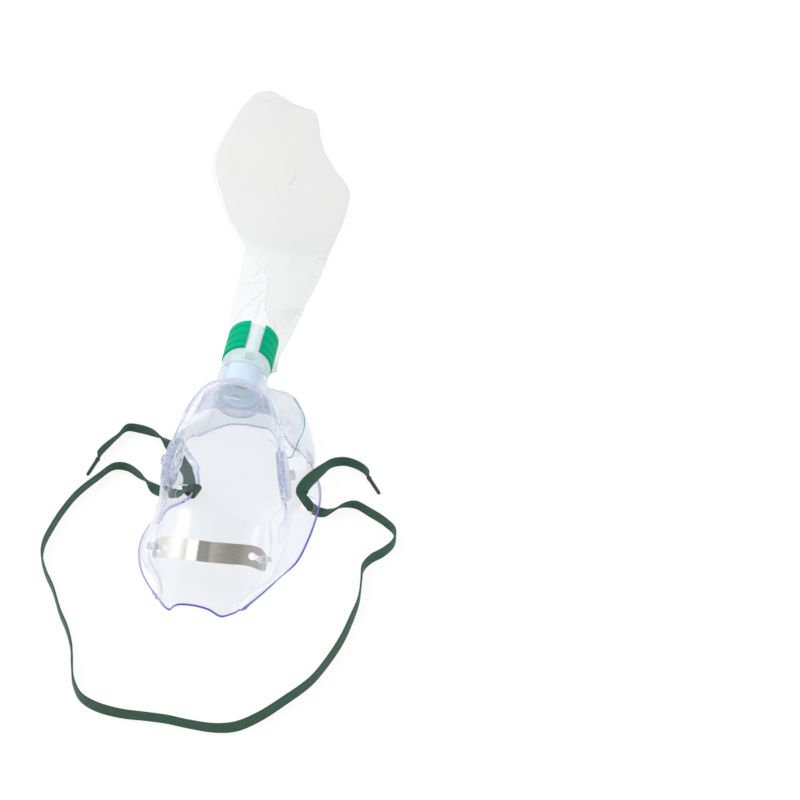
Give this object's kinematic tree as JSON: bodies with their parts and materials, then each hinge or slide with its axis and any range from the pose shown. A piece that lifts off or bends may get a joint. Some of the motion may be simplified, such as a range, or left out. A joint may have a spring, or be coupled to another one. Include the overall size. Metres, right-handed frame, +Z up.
{
  "type": "oxygen mask",
  "caption": "Clear soft oxygen face mask with an aluminium nose strip, cheek exhalation valves, an elastic head strap and a film reservoir bag clamped to its port connector.",
  "frame": {"origin": "middle of the object's footprint on the table, without its head strap", "axes": "+Z up from the table that the mask's open face side lies on, +Y from the nose notch through the chin and the port to the bag's far end, +X to the side that the folded flange isn't on"},
  "size_m": [0.1743, 0.4866, 0.0681],
  "materials": {
    "clear_soft_pvc": "clear soft PVC, glossy",
    "frosted_silicone": "frosted translucent silicone",
    "soft_aluminium": "rolled, fine lengthwise grain",
    "milky_polypropylene": "milky, half gloss",
    "green_polypropylene": "moulded, half gloss",
    "translucent_film": "thin translucent film",
    "dark_green_elastic": "woven flat elastic with lengthwise ribs",
    "heat_shrunk_tip": "dark hardened end"
  },
  "bodies": {
    "root": {"mask_shell": "clear_soft_pvc", "nose_strip": "soft_aluminium", "exhale_disc_left": "frosted_silicone", "exhale_disc_right": "frosted_silicone", "connector_body": "milky_polypropylene", "check_valve_flap": "frosted_silicone", "bag_collar": "green_polypropylene", "reservoir_bag": "translucent_film", "head_strap": "dark_green_elastic", "strap_tip_left": "heat_shrunk_tip", "strap_tip_right": "heat_shrunk_tip"}
  },
  "joints": []
}
